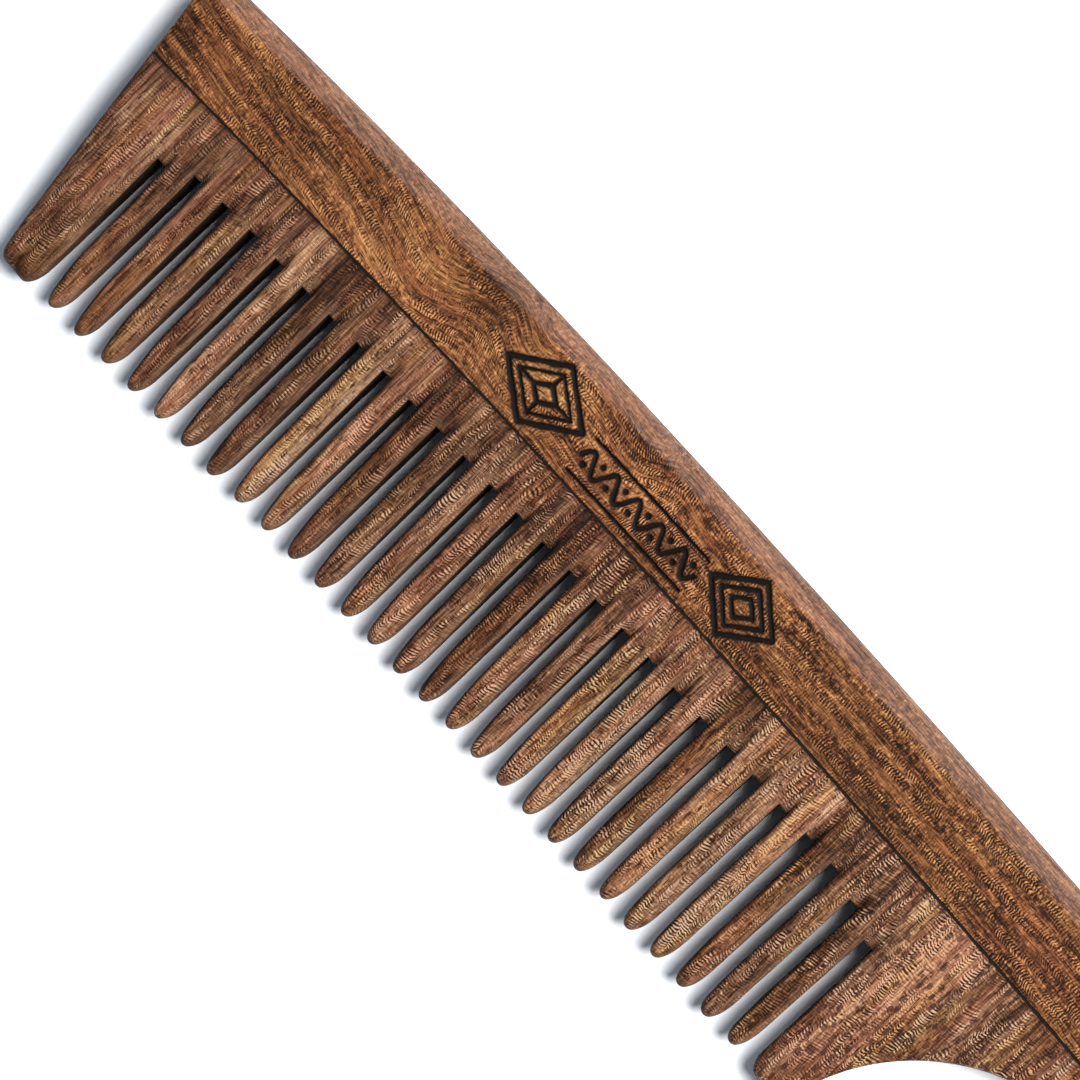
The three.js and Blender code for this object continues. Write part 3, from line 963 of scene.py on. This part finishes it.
# Painted shade for the slots' walls, then glue beside the joint, then the burned ornament.
PAINTED_WALL_SHADE, GLUE_STAIN, CHAR = (0.007, 0.004, 0.003), (0.008, 0.004, 0.0025), (0.004, 0.0028, 0.0022)
WOOD_SPECULAR, GLUE_SPECULAR, SPLINE_SPECULAR = 0.08, 0.1, 0.5


# The figure is faint by the left end and gets crisper up to the last teeth.
CRISP_RANGE = (0.0, 105.0)
BOARD_RIPPLE, RAIL_RIPPLE = 0.4, 0.38


def ripple_marks(s, grain, axis, period, column_scale, patch_scale, fine_scale):
    """Storied ripple marks: short curved dashes across the grain, in step only within narrow columns."""
    middle, column = s.cells(grain, column_scale, (2.0, 5.0, 8.0))
    drift = s.noise(grain, patch_scale, 1.0, 0.5, (2.0, 5.0, 8.0))
    jitter = s.noise(grain, fine_scale, 1.0, 0.5, (4.0, 4.0, 9.0))
    turns = s.total(
        s.times(s.part(grain, axis), 2 * math.pi / period),
        s.times(column, 16.0),
        s.times(middle, 2.0),
        s.times(drift, 16.0),
        s.times(jitter, 9.0),
    )
    patch = s.span(s.noise(grain, patch_scale, 2.0, 0.5, (7.0, 2.0, 3.0)), 0.34, 0.62, 0.3, 1.0)
    fine = s.span(s.noise(grain, fine_scale, 1.0, 0.5, (1.0, 8.0, 4.0)), 0.32, 0.5, 0.2, 1.0)
    dash = s.span(s.math("SINE", turns), -0.7, 0.8, -1.0, 1.0)
    edge = s.span(middle, 0.0, 0.35, 0.25, 1.0)
    strength = s.times(s.times(patch, fine), edge)
    return s.times(dash, strength), patch, middle


def board_wood():
    """Cross-cut board: grain down the teeth, rippled light across it, dark open pores along it."""
    s = Shader("board_wood")
    grain = s.attribute("grain", "Vector")
    tone = s.attribute("tone")
    bands = s.noise(grain, (0.75, 0.018, 0.5), 3.0, 0.6)
    streaks = s.noise(grain, (3.2, 0.09, 2.0), 3.0, 0.65, (4.0, 1.0, 2.0))
    fibre = s.noise(grain, (9.0, 0.9, 8.0), 3.0, 0.6)
    cloud = s.noise(grain, (0.25, 0.12, 0.2), 2.0, 0.5, (9.0, 3.0, 1.0))
    bent = s.node("ShaderNodeVectorMath", operation="ADD")
    s.put(bent.inputs[0], grain)
    s.put(bent.inputs[1], s.ripple_bend(grain, (0.35, 0.14, 0.4), (3.0, 1.4, 0.0)))
    ripple, patch, middle = ripple_marks(
        s, bent.outputs[0], 1, BOARD_RIPPLE, (1.25, 0.2, 0.8), (0.6, 0.10, 0.8), (1.5, 1.1, 2.0)
    )
    scale_middle, scale_random = s.cells(bent.outputs[0], (1.35, 2.7, 1.2))
    scales = s.times(s.total(scale_middle, s.times(scale_random, 1.1), -1.15), patch)
    seams = s.noise(grain, (1.5, 0.11, 1.0), 2.0, 0.5, (6.0, 7.0, 1.0))
    seam = s.math("SUBTRACT", 1.0, s.span(s.math("ABSOLUTE", s.math("SUBTRACT", seams, 0.5)), 0.0, 0.045))

    pores = s.noise(grain, (3.6, 0.62, 3.0), 1.0, 0.5, (3.0, 6.0, 5.0))
    pore_patch = s.noise(grain, (0.5, 0.08, 0.4), 1.0, 0.5, (6.0, 4.0, 2.0))
    pore = s.times(s.span(pores, 0.63, 0.70), s.span(pore_patch, 0.38, 0.58, 0.35, 1.0))

    crisp = s.span(s.part(grain, 0), *CRISP_RANGE, 0.72, 1.42)
    fine = s.total(s.swing(fibre, 0.75), s.times(ripple, 0.37), s.times(scales, 0.16))
    value = s.total(
        s.times(tone, 0.30),
        s.times(s.attribute("root"), -0.08),
        s.swing(bands, 0.9),
        s.swing(streaks, 1.1),
        s.swing(cloud, 0.35),
        s.times(fine, crisp),
        s.swing(middle, 0.12),
        s.times(seam, -0.16),
        0.45,
    )
    colour = s.ramp(value, BOARD_TONES)
    redness = s.span(s.noise(grain, (0.5, 0.03, 0.4), 2.0, 0.5, (5.0, 9.0, 7.0)), 0.40, 0.60, 0.1, 0.9)
    colour = s.mix(redness, colour, (1.0, 0.79, 0.78), "MULTIPLY")
    golden = s.span(s.noise(grain, (0.42, 0.025, 0.3), 2.0, 0.5, (1.0, 2.0, 3.0)), 0.48, 0.62, 0.0, 0.8)
    colour = s.mix(golden, colour, (1.0, 0.98, 0.70), "MULTIPLY")
    colour = s.mix(s.times(pore, 0.9), colour, BOARD_PORE)
    # Painted highlight on the teeth's right edges, and paler run-out floors.
    highlight_and_paling_mix = s.times(s.attribute("highlight_and_paling"), s.span(streaks, 0.3, 0.6, 0.25, 0.75))
    colour = s.mix(highlight_and_paling_mix, colour, s.mix(fibre, *BOARD_HIGHLIGHT_AND_PALE))
    ovals, _ = s.cells(grain, (0.95, 0.52, 0.8), (3.0, 1.0, 4.0))
    fleck = s.times(s.span(ovals, 0.72, 0.86), s.attribute("fleck"))
    colour = s.mix(s.times(fleck, 0.75), colour, FLECK)
    # Painted shade on the teeth's left edges and run-out walls, darker tips, and glue soaked in beside the
    # joint.
    stain_and_shade = s.times(s.attribute("stain_and_shade"), s.span(fibre, 0.25, 0.6, 0.7, 1.0))
    colour = s.mix(stain_and_shade, colour, s.mix(0.95, colour, STAIN_AND_SHADE_TINT, "MULTIPLY"))
    # Painted shade: the slots' walls, darkest at the roots.
    painted_wall_shade = s.times(s.attribute("painted_wall_shade"), s.span(fibre, 0.25, 0.6, 0.85, 1.0))
    colour = s.mix(painted_wall_shade, colour, PAINTED_WALL_SHADE)
    s.bump(s.total(s.times(ripple, 0.4), s.times(fibre, 0.8), s.times(pore, -1.4)), 0.04)
    rough = s.span(s.total(streaks, s.times(ripple, 0.2)), 0.2, 0.9, 0.62, 0.46)
    return s.finish(colour, rough, WOOD_SPECULAR)


def rail_wood():
    """Long-grain rail: dark pore dashes and gold flecks along the grain, ripples across it, charred marks."""
    s = Shader("rail_wood")
    grain = s.attribute("grain", "Vector")
    bands = s.noise(grain, (0.022, 0.6, 0.5), 3.0, 0.6, distortion=0.3)
    streaks = s.noise(grain, (0.11, 2.4, 2.0), 3.0, 0.65, (4.0, 1.0, 2.0))
    fibre = s.noise(grain, (1.1, 7.0, 8.0), 3.0, 0.6)
    cloud = s.noise(grain, (0.10, 0.22, 0.2), 2.0, 0.5, (9.0, 3.0, 1.0))
    ripple, patch, _ = ripple_marks(
        s, grain, 0, RAIL_RIPPLE, (0.2, 0.9, 0.8), (0.12, 0.6, 1.0), (1.0, 1.7, 2.0)
    )
    ripple = s.times(ripple, s.span(s.attribute("highlight_and_paling"), 0.1, 0.9, 1.0, 0.25))
    scale_middle, scale_random = s.cells(grain, (2.7, 1.6, 1.2))
    scales = s.times(s.total(scale_middle, s.times(scale_random, 1.1), -1.15), patch)

    pores = s.noise(grain, (0.75, 4.4, 3.5), 1.0, 0.5, (3.0, 6.0, 5.0))
    pore_patch = s.noise(grain, (0.06, 0.5, 0.4), 1.0, 0.5, (6.0, 4.0, 2.0))
    pore = s.times(s.span(pores, 0.60, 0.66), s.span(pore_patch, 0.4, 0.6, 0.5, 1.0))
    flecks = s.span(s.noise(grain, (0.8, 3.6, 3.0), 1.0, 0.5, (8.0, 2.0, 6.0)), 0.58, 0.68)

    crisp = s.span(s.part(grain, 0), *CRISP_RANGE, 0.9, 1.35)
    fine = s.total(s.swing(fibre, 0.75), s.times(ripple, 0.32), s.times(scales, 0.24))
    value = s.total(
        s.times(s.attribute("shade"), 0.6),
        s.swing(bands, 0.8),
        s.swing(streaks, 1.05),
        s.swing(cloud, 0.4),
        s.times(fine, crisp),
        s.times(flecks, 0.18),
        0.50,
    )
    colour = s.ramp(value, RAIL_TONES)
    redness = s.span(s.noise(grain, (0.03, 0.4, 0.4), 2.0, 0.5, (5.0, 9.0, 7.0)), 0.42, 0.62, 0.0, 0.6)
    colour = s.mix(redness, colour, (1.0, 0.82, 0.90), "MULTIPLY")
    colour = s.mix(s.times(pore, 0.9), colour, RAIL_PORE)
    # Painted sheen: the rounded back band made lighter and pinker.
    highlight_and_paling_mix = s.times(s.attribute("highlight_and_paling"), s.span(streaks, 0.3, 0.65, 0.2, 0.55))
    colour = s.mix(highlight_and_paling_mix, colour, s.mix(s.span(fibre, 0.35, 0.65), *RAIL_SHEEN))
    # Glue soaked in beside the joint; on the rail this attribute holds no painted shade.
    colour = s.mix(s.times(s.attribute("stain_and_shade"), 0.85), colour, GLUE_STAIN)
    char = s.math("MULTIPLY", s.attribute("char"), s.span(fibre, 0.25, 0.75, 0.86, 1.1), clamp=True)
    colour = s.mix(s.span(char, 0.05, 0.9), colour, CHAR)
    s.bump(s.total(s.times(ripple, 0.3), s.times(fibre, 0.8), s.times(pore, -1.4)), 0.036)
    rough = s.span(s.total(streaks, s.times(char, -0.6)), 0.0, 0.9, 0.75, 0.42)
    return s.finish(colour, rough, WOOD_SPECULAR)


def glue_material():
    """Dried dark glue with wood dust in it."""
    s = Shader("dark_glue")
    grain = s.attribute("grain", "Vector")
    dust = s.noise(grain, (3.0, 6.0, 3.0), 4.0, 0.65)
    s.bump(dust, 0.05)
    return s.finish(s.ramp(dust, GLUE_TONES), s.span(dust, 0.3, 0.7, 0.6, 0.85), GLUE_SPECULAR)


def spline_material():
    """Plain straight-grained wood of the loose spline inside the joint."""
    s = Shader("spline_wood")
    place = s.node("ShaderNodeTexCoord").outputs["Object"]
    bands = s.noise(place, (60.0, 900.0, 700.0), 3.0, 0.6)
    fibre = s.noise(place, (900.0, 9000.0, 7000.0), 3.0, 0.6)
    value = s.total(s.times(bands, 0.7), s.times(fibre, 0.3))
    s.bump(fibre, 0.03)
    return s.finish(s.ramp(value, SPLINE_TONES), s.span(fibre, 0.3, 0.7, 0.75, 0.6), SPLINE_SPECULAR)


# ===== The part
def dress(piece, material, nodes):
    piece.data.materials.clear()
    piece.data.materials.append(material)
    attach(piece, "root")
    if nodes:
        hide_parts(*nodes)


board_nodes = sorted(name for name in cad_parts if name.startswith(("root_strip", "tooth_", "heel_")))
dress(build_tooth_board(), board_wood(), board_nodes)
dress(build_spine_rail(), rail_wood(), ["spine_rail"])
dress(build_glue_line(), glue_material(), [])
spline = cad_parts["joint_spline"]
spline.data.materials.clear()
spline.data.materials.append(spline_material())


# ===== Floor, light and camera
CAMERA_SPOT = (25.48, 117.35, 650.0)
CAMERA_TURNS = (-3.613, 10.484, 46.410)
LENS_MM = 190.44
SENSOR_MM = 36.0
KEY_SPOT = (385, 510, 870)
KEY_SIZE = 660
KEY_WATTS = 33.5
KEY_COLOUR = (1.0, 0.985, 0.96)
HORIZON_STRENGTH, OVERHEAD_STRENGTH = 2.5, 0.05
SKY_COLOUR = (0.74, 0.86, 1.0, 1.0)
FLOOR_COLOUR = (0.86, 0.88, 0.92, 1.0)
FLOOR_REACH, FLOOR_Z = 1.6, -0.0002


def add_floor():
    mesh = bpy.data.meshes.new("floor")
    signs = ((-1, -1), (1, -1), (1, 1), (-1, 1))
    mesh.from_pydata([(x * FLOOR_REACH, y * FLOOR_REACH, FLOOR_Z) for x, y in signs], [], [(0, 1, 2, 3)])
    floor = bpy.data.objects.new("floor", mesh)
    bpy.context.scene.collection.objects.link(floor)
    s = Shader("pale_floor")
    mesh.materials.append(s.finish(FLOOR_COLOUR, 0.9, 0.1))


def add_key_light():
    """One broad lamp beyond the spine and to the right, turned towards the comb's middle."""
    data = bpy.data.lights.new("key", "AREA")
    data.shape = "DISK"
    data.size = KEY_SIZE * MM
    data.energy = KEY_WATTS
    data.color = KEY_COLOUR
    light = bpy.data.objects.new("key", data)
    light.location = Vector(KEY_SPOT) * MM
    towards = -Vector(KEY_SPOT).normalized()
    light.rotation_euler = towards.to_track_quat("-Z", "Y").to_euler()
    bpy.context.scene.collection.objects.link(light)


def add_world():
    """Pale surroundings, brighter round the horizon than overhead."""
    world = bpy.data.worlds.new("studio")
    bpy.context.scene.world = world
    world.use_nodes = True
    nodes, links = world.node_tree.nodes, world.node_tree.links
    split = nodes.new("ShaderNodeSeparateXYZ")
    links.new(nodes.new("ShaderNodeTexCoord").outputs["Generated"], split.inputs[0])
    height = nodes.new("ShaderNodeMapRange")
    height.interpolation_type = "SMOOTHERSTEP"
    links.new(split.outputs[2], height.inputs[0])
    strengths = (-0.35, 0.85, HORIZON_STRENGTH, OVERHEAD_STRENGTH)
    for socket, number in zip(height.inputs[1:5], strengths):
        socket.default_value = number
    background = nodes["Background"]
    background.inputs["Color"].default_value = SKY_COLOUR
    links.new(height.outputs[0], background.inputs["Strength"])


def add_camera():
    data = bpy.data.cameras.new("camera")
    data.sensor_width = SENSOR_MM
    data.lens = LENS_MM
    data.clip_start = 0.01
    data.clip_end = 20.0
    camera = bpy.data.objects.new("camera", data)
    tilt, roll, heading = (math.radians(angle) for angle in CAMERA_TURNS)
    turn = Matrix.Rotation(heading, 3, "Z") @ Matrix.Rotation(roll, 3, "Y") @ Matrix.Rotation(tilt, 3, "X")
    camera.matrix_world = Matrix.Translation(Vector(CAMERA_SPOT) * MM) @ turn.to_4x4()
    bpy.context.scene.collection.objects.link(camera)
    bpy.context.scene.camera = camera


add_floor()
add_world()
add_key_light()
add_camera()
bpy.context.scene.view_settings.view_transform = "Standard"
